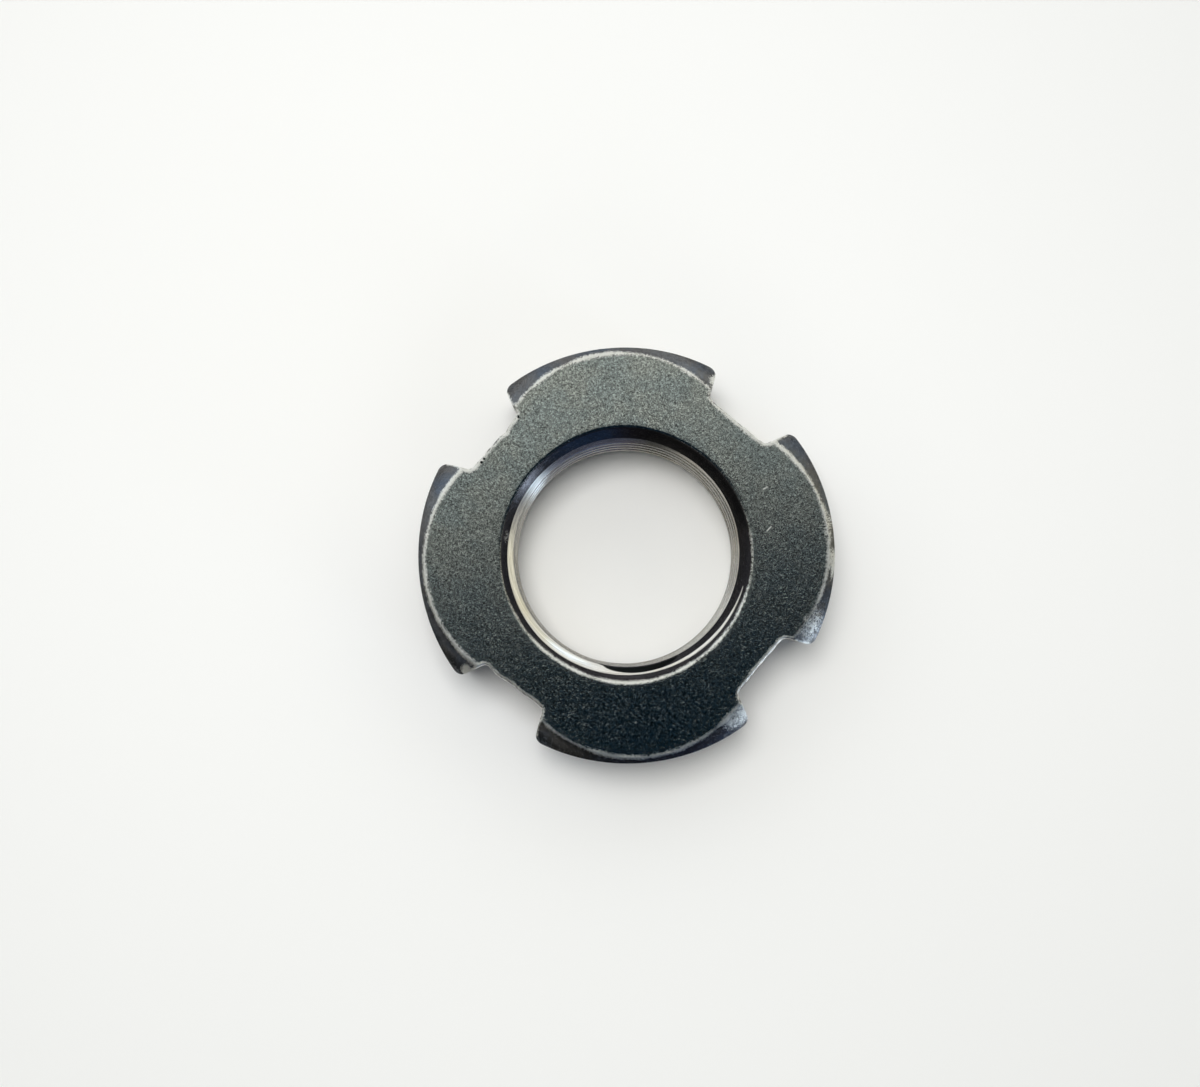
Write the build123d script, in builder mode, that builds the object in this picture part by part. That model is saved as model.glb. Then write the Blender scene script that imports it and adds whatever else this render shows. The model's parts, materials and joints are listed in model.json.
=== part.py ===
from build123d import *
import math
import os

# Slotted lock nut, M14 x 1 right hand, pressed from thick steel strip and black oxided.
# Sizes are in millimetres and degrees.
# The origin is the centre of the lower bearing face, on the thread's axis.
# +Z runs along the thread's axis and +X through the middle of one spanner slot.

# Blank
outer_diameter = 24.0
thickness = 5.5
lower_edge_break = 0.15

# Thread and its lead-in, alike on both faces. The countersink is wider than the thread.
thread_diameter = 14.0
thread_pitch = 1.0
countersink_clearance = 0.6
countersink_angle = 90.0
countersink_rim_round = 0.3

# Spanner slots: a flat floor and side walls that open outwards
slot_count = 4
slot_floor_span = 20.0
slot_floor_width = 4.16
slot_side_flare = 25.0
slot_floor_fillet = 0.4
lobe_corner_fillet = 0.5

# Rolled shoulder on the upper rim of each lobe. Its inner edge is an arc about an axis
# of its own, out on the lobe's middle line, so the shoulder widens to the lobe's corners.
# In section it is a round roll that leaves the upper face at a shallow angle.
shoulder_width = 0.34
shoulder_edge_radius = 7.5
shoulder_roll_radius = 3.0
shoulder_entry_angle = 18.0
shoulder_exit_angle = 80.0

# Sizes and places that follow
outer_radius = outer_diameter / 2
slot_floor_radius = slot_floor_span / 2
slot_pitch = 360 / slot_count
shoulder_axis_radius = outer_radius - shoulder_width - shoulder_edge_radius
cutter_margin = 1.0

# The thread's basic triangle is one pitch wide, with 60 degree flanks, and its bore lies
# five eighths of the triangle's height inside the nominal diameter.
triangle_height = thread_pitch * math.sqrt(3) / 2
thread_minor_radius = thread_diameter / 2 - 5 / 8 * triangle_height
countersink_diameter = thread_diameter + countersink_clearance


def slot_half_width(distance):
    """Half the slot's width at a distance from the thread's axis, along its middle line."""
    flare = math.tan(math.radians(slot_side_flare))
    return slot_floor_width / 2 + (distance - slot_floor_radius) * flare


# Cutter for one shoulder, about the shoulder's own axis. It sweeps over the lobe and
# ends each side in the open slot, half way from the side wall to the slot's middle line.
slot_middle = (slot_floor_radius + outer_radius) / 2
sweep_end = Vector(slot_middle, -slot_half_width(slot_middle) / 2).rotate(Axis.Z, slot_pitch / 2)
half_sweep = math.degrees(math.atan2(sweep_end.Y, sweep_end.X - shoulder_axis_radius))
with BuildPart() as shoulder_cutter:
    with BuildSketch(Plane.XZ) as shoulder_section:
        with BuildLine():
            entry = math.radians(shoulder_entry_angle)
            roll = CenterArc(
                (
                    shoulder_edge_radius - shoulder_roll_radius * math.sin(entry),
                    thickness - shoulder_roll_radius * math.cos(entry),
                ),
                shoulder_roll_radius,
                start_angle=90 - shoulder_entry_angle,
                arc_size=shoulder_entry_angle - shoulder_exit_angle,
            )
            Polyline(
                roll @ 1,
                (outer_diameter, (roll @ 1).Y),
                (outer_diameter, thickness + cutter_margin),
                (shoulder_edge_radius, thickness + cutter_margin),
                roll @ 0,
            )
        make_face()
    revolve(axis=Axis.Z, revolution_arc=2 * half_sweep)

# Lock nut
with BuildPart() as lock_nut:
    # Blank with its slots
    with BuildSketch() as outline:
        Circle(outer_radius)
        slot_mouth = outer_radius + cutter_margin
        with PolarLocations(0, slot_count):
            Polygon(
                (slot_floor_radius, -slot_half_width(slot_floor_radius)),
                (slot_mouth, -slot_half_width(slot_mouth)),
                (slot_mouth, slot_half_width(slot_mouth)),
                (slot_floor_radius, slot_half_width(slot_floor_radius)),
                align=None,
                mode=Mode.SUBTRACT,
            )
    extrude(amount=thickness)

    # Upright corners: the innermost are at the slot floors, the outermost on the lobes
    fillet(lock_nut.edges().filter_by(Axis.Z).group_by(SortBy.DISTANCE)[0], slot_floor_fillet)
    fillet(lock_nut.edges().filter_by(Axis.Z).group_by(SortBy.DISTANCE)[-1], lobe_corner_fillet)
    chamfer(lock_nut.edges().group_by(Axis.Z)[0], lower_edge_break)

    # Rolled shoulders on the upper face, one on each lobe
    with PolarLocations(shoulder_axis_radius, slot_count, start_angle=slot_pitch / 2):
        add(shoulder_cutter.part, rotation=(0, 0, -half_sweep), mode=Mode.SUBTRACT)

    # Bore at the thread's minor diameter, countersunk from both faces
    with Locations(Plane.XY.offset(thickness), Plane.YX):
        CounterSinkHole(
            thread_minor_radius,
            countersink_diameter / 2,
            counter_sink_angle=countersink_angle,
        )

    # Rounded rims of both countersinks
    circles = lock_nut.edges().filter_by(GeomType.CIRCLE)
    rims = circles.filter_by(lambda rim: math.isclose(rim.radius, countersink_diameter / 2))
    fillet(rims, countersink_rim_round)

os.makedirs("parts", exist_ok=True)
lock_nut.part.label = "lock_nut"
export_step(lock_nut.part, "parts/lock_nut.step")
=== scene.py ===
"""A slotted lock nut, M14 x 1, made as the real one is: pressed, slotted, rolled and tapped.

A ring is spun from its half section, the spanner slots and the rolled shoulders are cut into
it, and a tap cuts the thread. Each surface then gets the finish of the tool that made it,
under one black oxide that is worn pale along the edges; on one side of the countersinks' rims
that pale band is also a painted highlight, where the rims catch the light.
Lengths are in metres, in the row's frame. A plan is seen from above, with +X to the right.
"""

import json
import logging
import math
from collections.abc import Callable, Iterator, Sequence
from contextlib import contextmanager
from dataclasses import dataclass, field, replace
from enum import Enum

import bmesh
import bpy
from mathutils import Matrix, Vector
from mathutils.kdtree import KDTree


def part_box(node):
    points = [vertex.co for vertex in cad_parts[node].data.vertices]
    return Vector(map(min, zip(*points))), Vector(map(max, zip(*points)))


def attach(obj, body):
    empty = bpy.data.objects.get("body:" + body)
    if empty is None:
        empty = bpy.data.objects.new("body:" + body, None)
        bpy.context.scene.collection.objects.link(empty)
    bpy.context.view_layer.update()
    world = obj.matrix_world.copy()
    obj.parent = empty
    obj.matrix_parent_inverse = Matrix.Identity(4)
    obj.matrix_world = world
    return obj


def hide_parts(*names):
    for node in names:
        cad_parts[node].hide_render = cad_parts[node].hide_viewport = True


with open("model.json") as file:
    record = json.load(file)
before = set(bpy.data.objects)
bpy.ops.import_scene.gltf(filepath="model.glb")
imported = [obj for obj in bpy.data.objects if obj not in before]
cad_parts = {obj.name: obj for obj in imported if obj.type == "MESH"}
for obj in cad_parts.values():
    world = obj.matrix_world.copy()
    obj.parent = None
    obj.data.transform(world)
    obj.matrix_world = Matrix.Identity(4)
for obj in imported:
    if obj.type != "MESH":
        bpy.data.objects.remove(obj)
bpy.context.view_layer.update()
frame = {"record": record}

MM = 0.001
UP = Vector((0, 0, 1))
NODE = "lock_nut"
BODY = "root"
# Vertices nearer than this are one and the same
WELD = MM / 1000
# What the tap leaves over the basic minor radius, in millimetres as the record's sizes are
TAP_PLAY = 0.07
# The attribute that says how worn a vertex is, with the painted highlight on one side of the
# countersinks' rims, and its value far from every worn edge
WEAR_AND_HIGHLIGHT = "edge_wear_and_highlight"
UNWORN = -3.0
# Between these lie most of a noise's values: with fine octaves, in patches, and coarse
FINE_SPAN = (0.38, 0.62)
PATCH_SPAN = (0.35, 0.65)
COARSE_SPAN = (0.3, 0.7)

Point = tuple[float, float]
Colour = tuple[float, float, float]
Socket = bpy.types.NodeSocket
Source = Socket | float | Colour | Vector
Item = bmesh.types.BMVert | bmesh.types.BMEdge
log = logging.getLogger(NODE)


class Zone(Enum):
    """The nut's surfaces, each with a finish of its own."""

    FACE = 0
    SHOULDER = 1
    WALL = 2
    BORE = 3
    THREAD = 4
    CREST = 5


class Select(Enum):
    """What is selected in edit mode."""

    VERTICES = "VERT"
    EDGES = "EDGE"


def mount_sizes(name: str) -> dict[str, float]:
    """Read the sizes, in millimetres, that the record states for a mount.

    Args:
        name: The mount's name in the record.

    Returns:
        The mount's dims.
    """
    return next(m["dims"] for m in frame["record"]["mounts"] if m["name"] == name)


def polar(radius: float, angle: float, height: float = 0.0) -> Vector:
    """The point at a radius, an angle in radians and a height."""
    return Vector((radius * math.cos(angle), radius * math.sin(angle), height))


def arc(centre: Point, radius: float, start: float, end: float, steps: int) -> list[Point]:
    """Divide an arc evenly.

    Args:
        centre: The arc's centre.
        radius: The arc's radius.
        start: Angle of the first point, in degrees.
        end: Angle of the last point, in degrees.
        steps: How many chords the arc has.

    Returns:
        The points, with both ends.
    """
    turns = [math.radians(start + (end - start) * i / steps) for i in range(steps + 1)]
    return [(centre[0] + radius * math.cos(t), centre[1] + radius * math.sin(t)) for t in turns]


def spaced(points: Sequence[Point], spacing: float) -> list[Point]:
    """Divide each long stretch of an outline evenly.

    Args:
        points: The outline's corners.
        spacing: The longest stretch that is left.

    Returns:
        The corners with the points between them.
    """
    dense = []
    for a, b in zip(points, points[1:]):
        steps = max(1, math.ceil(math.dist(a, b) / spacing))
        dx, dy = b[0] - a[0], b[1] - a[1]
        dense += [(a[0] + dx * i / steps, a[1] + dy * i / steps) for i in range(steps)]
    return dense + [points[-1]]


def pick(piece: bpy.types.Object) -> None:
    """Make a piece the active one and the only one selected.

    Args:
        piece: The piece.
    """
    bpy.ops.object.select_all(action="DESELECT")
    piece.select_set(True)
    bpy.context.view_layer.objects.active = piece


@contextmanager
def editing(piece: bpy.types.Object) -> Iterator[None]:
    """Hold a piece in edit mode with all of its mesh selected.

    Args:
        piece: The piece to edit.
    """
    pick(piece)
    bpy.ops.object.mode_set(mode="EDIT")
    bpy.ops.mesh.select_all(action="SELECT")
    yield
    bpy.ops.object.mode_set(mode="OBJECT")


def select_where(piece: bpy.types.Object, kind: Select, wanted: Callable[[Item], bool]) -> None:
    """Select vertices or edges by their place, in edit mode.

    Args:
        piece: The piece in edit mode.
        kind: Which of them.
        wanted: Says whether a vertex or an edge is to be selected.
    """
    bpy.ops.mesh.select_mode(type=kind.value)
    bpy.ops.mesh.select_all(action="DESELECT")
    mesh = bmesh.from_edit_mesh(piece.data)
    for item in mesh.verts if kind is Select.VERTICES else mesh.edges:
        item.select_set(wanted(item))
    mesh.select_flush(True)
    bmesh.update_edit_mesh(piece.data)


def draw_chain(name: str, points: Sequence[Vector], closed: bool) -> bpy.types.Object:
    """Draw a line by extruding one vertex from point to point.

    Args:
        name: The new object's name.
        points: The line's points.
        closed: Whether an edge joins the last point to the first.

    Returns:
        The object that holds the line.
    """
    bpy.ops.object.select_all(action="DESELECT")
    bpy.ops.mesh.primitive_plane_add(size=MM)
    piece = bpy.context.object
    piece.name = name
    with editing(piece):
        bpy.ops.mesh.merge(type="CENTER")
        bpy.ops.transform.translate(value=points[0])
        for start, end in zip(points, points[1:]):
            bpy.ops.mesh.extrude_vertices_move(TRANSFORM_OT_translate={"value": end - start})
        if closed:
            select_where(piece, Select.VERTICES, lambda vertex: len(vertex.link_edges) == 1)
            bpy.ops.mesh.edge_face_add()
    return piece


def tidy_shell(merge: float = WELD) -> None:
    """Merge close vertices and turn all faces outwards, in edit mode.

    Args:
        merge: Vertices nearer than this become one.
    """
    bpy.ops.mesh.select_all(action="SELECT")
    bpy.ops.mesh.remove_doubles(threshold=merge)
    bpy.ops.mesh.normals_make_consistent(inside=False)


def repeat_round(piece: bpy.types.Object, count: int) -> None:
    """Repeat a mesh evenly about the nut's axis, inside its own object.

    Args:
        piece: The object to fill.
        count: How many copies there are in all.
    """
    turn = math.tau / count
    with editing(piece):
        for _ in range(count - 1):
            bpy.ops.mesh.duplicate()
            bpy.ops.transform.rotate(value=turn, orient_axis="Z", center_override=(0, 0, 0))


def coat(piece: bpy.types.Object, zone_of: Callable[[bpy.types.MeshPolygon], Zone]) -> None:
    """Give each face of a mesh its finish. What a tool cuts takes the tool's finish.

    Args:
        piece: The mesh.
        zone_of: Tells a face's zone.
    """
    for finish in FINISHES:
        piece.data.materials.append(finish.material())
    for face in piece.data.polygons:
        face.material_index = zone_of(face).value


def cut(piece: bpy.types.Object, cutter: bpy.types.Object) -> None:
    """Cut one closed mesh out of another, and delete the cutter.

    Args:
        piece: The mesh that is cut.
        cutter: The tool's mesh.
    """
    pick(piece)
    boolean = piece.modifiers.new("cut", "BOOLEAN")
    boolean.operation = "DIFFERENCE"
    boolean.solver = "MANIFOLD"
    boolean.object = cutter
    bpy.ops.object.modifier_apply(modifier=boolean.name)
    bpy.data.objects.remove(cutter)


def roughen(
    piece: bpy.types.Object, size: float, height: float, smooth_beyond: float = math.inf
) -> None:
    """Push a mesh in and out along its normals with an even, fixed noise.

    Args:
        piece: The mesh to roughen.
        size: Size of the noise's lumps.
        height: From the deepest to the highest.
        smooth_beyond: Distance from the axis past which the mesh is left as it is.
    """
    pick(piece)
    rough = [v.index for v in piece.data.vertices if v.co.xy.length < smooth_beyond]
    near = piece.vertex_groups.new(name="near")
    near.add(rough, 1.0, "REPLACE")
    lumps = bpy.data.textures.new("lumps", "CLOUDS")
    lumps.noise_scale = size
    lumps.noise_depth = 2
    displace = piece.modifiers.new("lumps", "DISPLACE")
    displace.texture = lumps
    displace.texture_coords = "LOCAL"
    displace.strength = height
    displace.vertex_group = near.name
    bpy.ops.object.modifier_apply(modifier=displace.name)
    piece.vertex_groups.clear()


@dataclass
class Blank:
    """The bored ring, countersunk from both faces at 45 degrees to the axis.

    Attributes:
        outer_radius: Over the lobes.
        thickness: From the lower to the upper face.
        bore_radius: Before tapping.
        countersink_radius: At the faces, on both sides.
        rim_round: Rounding of the countersinks' rims.
        rim_steps: Cells across that rounding.
        stray: How far the upper countersink's rim strays from round.
        widest: Bearing of one of the two lobes where that rim is widest, in degrees.
        pinch: How closely the stray keeps to those two lobes.
        drawn_in: How much smaller that rim is than the lower one.
        shift: How far it is off centre.
        shifted: Bearing that it is shifted to, in degrees.
        onset: How soon the stray sets in up the cone: 1 at its rim, more if further down.
        fade: Width of the face's band in which the stray dies away.
        flat: Squared rise of the normal over which a face belongs to a flat side.
        spacing: The mesh's cell size.
        steps: Cells in a full turn.
    """

    outer_radius: float
    thickness: float
    bore_radius: float
    countersink_radius: float
    rim_round: float = 0.3 * MM
    rim_steps: int = 6
    stray: float = 0.13 * MM
    widest: float = 135.0
    pinch: int = 12
    drawn_in: float = 0.05 * MM
    shift: float = 0.05 * MM
    shifted: float = 275.0
    onset: float = 1.6
    fade: float = 1.0 * MM
    flat: float = 0.7
    spacing: float = 0.2 * MM
    steps: int = 480

    def rim(self) -> list[Point]:
        """The rounded rim of the lower countersink, from the cone out to the face.

        Returns:
            The rim's points, as pairs of radius and height.
        """
        lean = math.pi / 4
        centre = (self.countersink_radius + self.rim_round * math.tan(lean / 2), self.rim_round)
        # It begins where the cone touches it and ends where it touches the face
        return arc(centre, self.rim_round, 225, 270, self.rim_steps)

    def half_section(self) -> list[Point]:
        """The closed half section, as pairs of radius and height.

        Returns:
            The section's points.
        """
        depth = self.countersink_radius - self.bore_radius
        lower = [(self.bore_radius, depth), *self.rim(), (self.outer_radius, 0.0)]
        upper = [(radius, self.thickness - height) for radius, height in reversed(lower)]
        return spaced([*lower, *upper, lower[0]], self.spacing)[:-1]

    def build(self) -> bpy.types.Object:
        """Spin the half section into a ring.

        Returns:
            The ring.
        """
        section = [Vector((radius, 0, height)) for radius, height in self.half_section()]
        ring = draw_chain(NODE + "_dressed", section, closed=True)
        with editing(ring):
            bpy.ops.mesh.spin(steps=self.steps, angle=math.tau, center=(0, 0, 0), axis=UP)
            tidy_shell()
        for vertex in ring.data.vertices:
            vertex.co.xy *= 1 + self.strayed(vertex.co) / vertex.co.xy.length
        coat(ring, self.zone)
        return ring

    def zone(self, face: bpy.types.MeshPolygon) -> Zone:
        """Tell the flat sides with their rims, the bore and the outside apart.

        Args:
            face: A face of the ring.

        Returns:
            The face's zone.
        """
        if face.normal.z**2 > self.flat:
            return Zone.FACE
        middle = (self.countersink_radius + self.outer_radius) / 2
        return Zone.BORE if face.center.xy.length < middle else Zone.WALL

    def strayed(self, place: Vector) -> float:
        """How far a place on the upper countersink, or on the face beside it, is moved out.

        Args:
            place: The place.

        Returns:
            The distance, which is 0 in the lower half.
        """
        if place.z <= self.thickness / 2:
            return 0.0
        radius = place.xy.length
        angle = math.atan2(place.y, place.x)
        moved = self.stray * math.cos(angle - math.radians(self.widest)) ** self.pinch - self.drawn_in
        moved += self.shift * math.cos(angle - math.radians(self.shifted))
        rise = self.onset * (radius - self.bore_radius) / (self.countersink_radius - self.bore_radius)
        fall = 1 - (radius - self.countersink_radius) / self.fade
        return moved * max(0.0, min(1.0, rise, fall))

    def cone_depth(self, place: Vector) -> float:
        """How deep below its face the countersink's cone lies at a place in plan."""
        return self.countersink_radius - place.xy.length + self.strayed(place)


@dataclass(frozen=True)
class Chip:
    """A place where a slot's floor broke away deeper than the rest.

    Attributes:
        angle: Its bearing from the nut's axis, in degrees.
        depth: How much deeper it goes, or less where it is below 0.
        reach: How far it spreads from its middle.
    """

    angle: float
    depth: float
    reach: float


@dataclass
class SlotCutter:
    """The punch that shears the spanner slots, with rounded edges where it enters.

    Attributes:
        outer_radius: Of the blank.
        thickness: Of the blank.
        floor_radius: From the nut's axis to a slot's floor.
        floor_width: Across the floor, before its fillets.
        flare: Angle between a side wall and the slot's middle line, in degrees.
        floor_fillet: Fillet radius at the floor's corners.
        fillet_steps: Cells along that fillet.
        lobe_fillet: Rounding radius of the lobes' corners.
        lobe_steps: Cells along that rounding.
        leave_early: How early the punch leaves it, in degrees.
        hollow: How much deeper the floor is at its middle.
        entry_round: Rounding that the punch leaves on the upper edges.
        entry_cells: Depths of the mesh's layers in it, as shares of its own.
        exit_break: Bevel on the lower edges.
        tear: Size of the sheared walls' unevenness.
        ragged: Its height.
        torn: How far out from the floors the faces are uneven.
        chips: Broken places on the floors.
        count: How many slots there are.
        margin: How far the punch passes the blank.
        spacing: The mesh's cell size.
    """

    outer_radius: float
    thickness: float
    floor_radius: float = 10.0 * MM
    floor_width: float = 4.16 * MM
    flare: float = 25.0
    floor_fillet: float = 0.4 * MM
    fillet_steps: int = 6
    lobe_fillet: float = 0.54 * MM
    lobe_steps: int = 9
    leave_early: float = 4.0
    hollow: float = 0.03 * MM
    entry_round: float = 0.16 * MM
    entry_cells: tuple[float, ...] = (1.0, 0.75, 0.5, 0.3, 0.15, 0.05, 0.0)
    exit_break: float = 0.15 * MM
    tear: float = 0.16 * MM
    ragged: float = 0.1 * MM
    torn: float = 0.7 * MM
    chips: tuple[Chip, ...] = (
        Chip(angle=274.8, depth=0.3 * MM, reach=0.5 * MM),
        Chip(angle=280.0, depth=0.12 * MM, reach=1.3 * MM),
        Chip(angle=263.0, depth=-0.12 * MM, reach=1.0 * MM),
        Chip(angle=175.0, depth=0.1 * MM, reach=0.5 * MM),
    )
    count: int = 4
    margin: float = 1.0 * MM
    spacing: float = 0.12 * MM

    def half_outline(self) -> list[Point]:
        """One side of the punch in plan, from the slot's middle line out past the blank.

        Returns:
            The outline's points.
        """
        lean = math.radians(self.flare)
        half_width = self.floor_width / 2
        reach = self.floor_fillet * math.tan((math.pi / 2 - lean) / 2)
        floor_centre = (self.floor_radius + self.floor_fillet, half_width - reach)
        floor_arc = arc(floor_centre, self.floor_fillet, 180, 90 + self.flare, self.fillet_steps)
        # The lobe's rounding touches the wall, and nearly touches the blank: the punch leaves
        # it early, so that the two never graze each other
        normal = (-math.sin(lean), math.cos(lean))
        offset = self.floor_radius * normal[0] + half_width * normal[1] + self.lobe_fillet
        along = math.sqrt((self.outer_radius - self.lobe_fillet) ** 2 - offset**2)
        lobe_centre = (
            along * math.cos(lean) + offset * normal[0],
            along * math.sin(lean) + offset * normal[1],
        )
        leave = math.degrees(math.atan2(lobe_centre[1], lobe_centre[0])) - self.leave_early
        lobe_arc = arc(lobe_centre, self.lobe_fillet, self.flare - 90, leave, self.lobe_steps)
        heading = math.radians(leave + 90)
        past = 2 * self.margin
        out = (
            lobe_arc[-1][0] + past * math.cos(heading),
            lobe_arc[-1][1] + past * math.sin(heading),
        )
        beyond = self.outer_radius + past
        middle = (self.floor_radius - self.hollow, 0.0)
        return [middle, *floor_arc, *lobe_arc, out, (beyond, out[1]), (beyond, 0.0)]

    def spread(self, height: float) -> float:
        """How much wider the punch is at a height, for the rounded and bevelled edges.

        Args:
            height: The height.

        Returns:
            What is added on each side.
        """
        below_top = self.thickness - height
        if below_top < self.entry_round:
            # From the last layer but one upwards, the punch is straight
            rise = 1 - max(self.entry_cells[-2], below_top / self.entry_round)
            return self.entry_round * (1 - math.sqrt(1 - rise**2))
        return max(0.0, self.exit_break - height)

    def layers(self) -> list[float]:
        """The heights at which the punch's outline is repeated.

        Returns:
            The heights, from the lowest.
        """
        rounding = [self.thickness - self.entry_round * share for share in self.entry_cells]
        middle = spaced([(self.exit_break, 0.0), (rounding[0], 0.0)], self.spacing)
        walls = [height for height, _ in middle]
        return [-self.margin, 0.0, *walls, *rounding[1:], self.thickness + self.margin]

    def plan(self) -> list[Vector]:
        """The punch's closed outline in plan."""
        half = [Vector(point) for point in spaced(self.half_outline(), self.spacing)]
        return half + [Vector((point.x, -point.y)) for point in reversed(half[1:-1])]

    def ring(self, plan: Sequence[Vector], height: float) -> list[Vector]:
        """The outline at a height, with its spread.

        Args:
            plan: The outline in plan.
            height: The height.

        Returns:
            The ring's points.
        """
        along = [(plan[(i + 1) % len(plan)] - plan[i - 1]).normalized() for i in range(len(plan))]
        out = self.spread(height)
        return [Vector((p.x - t.y * out, p.y + t.x * out, height)) for p, t in zip(plan, along)]

    def build(self) -> bpy.types.Object:
        """Extrude the outline layer by layer, repeat it round the nut, and break its faces.

        Returns:
            The four punches, as one mesh.
        """
        plan = self.plan()
        heights = self.layers()
        punch = draw_chain("slot_punch", self.ring(plan, heights[0]), closed=True)
        with editing(punch):
            bpy.ops.mesh.edge_face_add()
            for low, high in zip(heights, heights[1:]):
                bpy.ops.mesh.extrude_region_move()
                below = nearest(self.ring(plan, low))
                above = self.ring(plan, high)
                mesh = bmesh.from_edit_mesh(punch.data)
                for vertex in (v for v in mesh.verts if v.select):
                    vertex.co = above[below.find(vertex.co)[1]]
                bmesh.update_edit_mesh(punch.data)
            tidy_shell()
        repeat_round(punch, self.count)
        roughen(punch, self.tear, self.ragged, smooth_beyond=self.floor_radius + self.torn)
        self.break_floors(punch)
        coat(punch, lambda face: Zone.WALL)
        return punch

    def break_floors(self, punch: bpy.types.Object) -> None:
        """Push the punch's faces deeper where a floor is chipped.

        Args:
            punch: The punches' mesh.
        """
        for vertex in punch.data.vertices:
            across = vertex.co.xy
            for chip in self.chips:
                middle = polar(self.floor_radius, math.radians(chip.angle)).xy
                share = (across - middle).length / chip.reach
                if share < 1:
                    vertex.co.xy = across - across.normalized() * chip.depth * (1 - share**2) ** 2


def nearest(points: Sequence[Vector]) -> KDTree:
    """Make a search tree.

    Args:
        points: The points that it finds.

    Returns:
        The tree.
    """
    tree = KDTree(len(points))
    for index, point in enumerate(points):
        tree.insert(point, index)
    tree.balance()
    return tree


@dataclass
class ShoulderCutter:
    """The roll that rounds the upper rim of the lobes, each about an axis of its own.

    Attributes:
        outer_radius: Of the blank.
        thickness: Of the blank.
        width: A shoulder's width at its lobe's middle.
        edge_radius: Radius of its inner edge, about its own axis.
        roll_radius: Radius of the roll, in section.
        entry: Slope at the upper face, in degrees.
        exit: Slope where the roll ends, outside the blank, in degrees.
        overlap: How far its arc goes on above the upper face, in degrees.
        reach: How far it passes its inner edge.
        margin: How far it passes the upper face.
        half_sweep: Angle that it covers each side of the lobe's middle, in degrees.
        hammer: Size of the unevenness that the roll leaves.
        hammered: Its height.
        count: How many lobes there are.
        steps: Cells along the sweep.
        roll_steps: Cells along the roll's arc.
    """

    outer_radius: float
    thickness: float
    width: float = 0.34 * MM
    edge_radius: float = 7.5 * MM
    roll_radius: float = 3.0 * MM
    entry: float = 18.0
    exit: float = 75.0
    overlap: float = 8.0
    reach: float = 3.0 * MM
    margin: float = 1.0 * MM
    half_sweep: float = 58.0
    hammer: float = 0.8 * MM
    hammered: float = 0.02 * MM
    count: int = 4
    steps: int = 110
    roll_steps: int = 22

    @property
    def axis_radius(self) -> float:
        """Distance from the nut's axis to the roll's own axis."""
        return self.outer_radius - self.width - self.edge_radius

    def section(self) -> list[Point]:
        """The roll's closed section, as pairs of distance from its own axis and height.

        Returns:
            The section's points.
        """
        slope = math.radians(self.entry)
        centre = (
            self.edge_radius - self.roll_radius * math.sin(slope),
            self.thickness - self.roll_radius * math.cos(slope),
        )
        start = 90 - self.entry + self.overlap
        roll = arc(centre, self.roll_radius, start, 90 - self.exit, self.roll_steps)
        far = self.edge_radius + self.reach
        above = self.thickness + self.margin
        return [*roll, (far, roll[-1][1]), (far, above), (roll[0][0], above)]

    def build(self) -> bpy.types.Object:
        """Spin the section over one lobe, and repeat it round the nut.

        Returns:
            The four rolls, as one mesh.
        """
        lobe = math.pi / self.count
        axis = polar(self.axis_radius, lobe)
        start = lobe + math.radians(self.half_sweep)
        points = [axis + polar(distance, start, height) for distance, height in self.section()]
        roll = draw_chain("shoulder_roll", points, closed=True)
        sweep = math.radians(2 * self.half_sweep)
        with editing(roll):
            bpy.ops.mesh.edge_face_add()
            bpy.ops.mesh.spin(steps=self.steps, angle=sweep, center=axis, axis=UP)
            tidy_shell()
        repeat_round(roll, self.count)
        roughen(roll, self.hammer, self.hammered)
        coat(roll, lambda face: Zone.SHOULDER)
        return roll


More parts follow.
